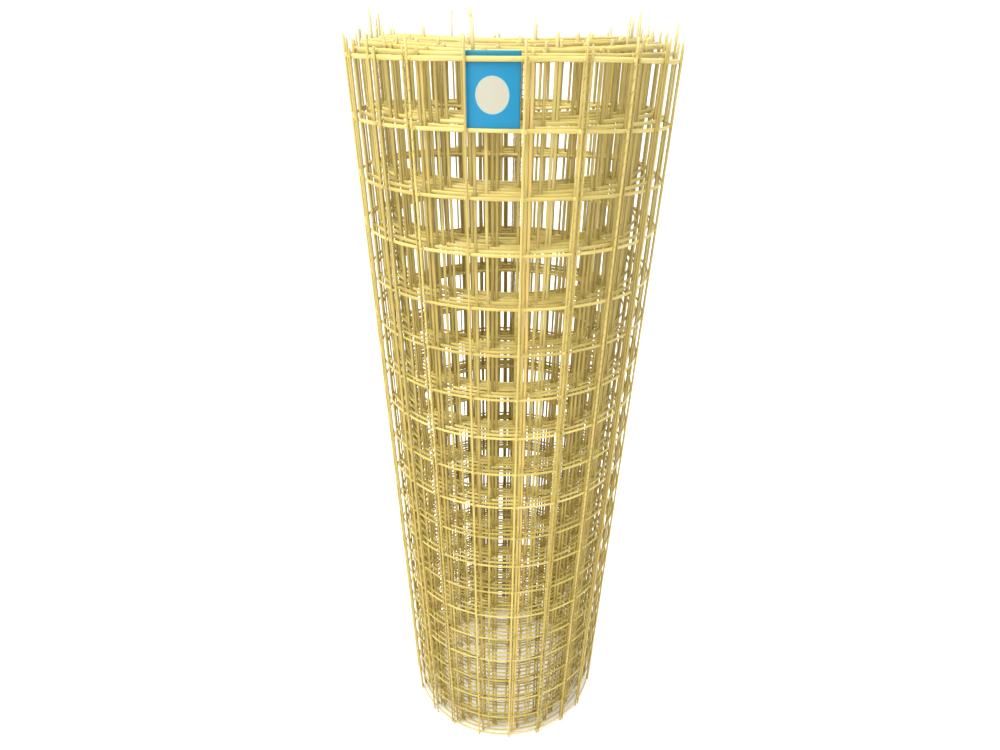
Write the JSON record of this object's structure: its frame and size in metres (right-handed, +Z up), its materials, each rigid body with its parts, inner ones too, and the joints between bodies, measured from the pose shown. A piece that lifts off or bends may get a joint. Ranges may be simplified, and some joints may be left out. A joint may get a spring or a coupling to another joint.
{
  "type": "roll of composite rebar mesh",
  "caption": "Upright roll of straw-yellow fibreglass rod mesh with an open bore, and a small blue card held behind the top strand of its outer turn.",
  "frame": {"origin": "centre of the end that the roll stands on", "axes": "+Z up along the roll's axis; the card faces -Y"},
  "size_m": [0.33, 0.33, 1],
  "materials": {
    "fibreglass": "resin-bound fibreglass, satin, straw yellow",
    "printed_card": "laminated card, plain blue with a plain pale disc"
  },
  "bodies": {
    "root": {"mesh_roll": "fibreglass", "label_card": "printed_card"}
  },
  "joints": []
}
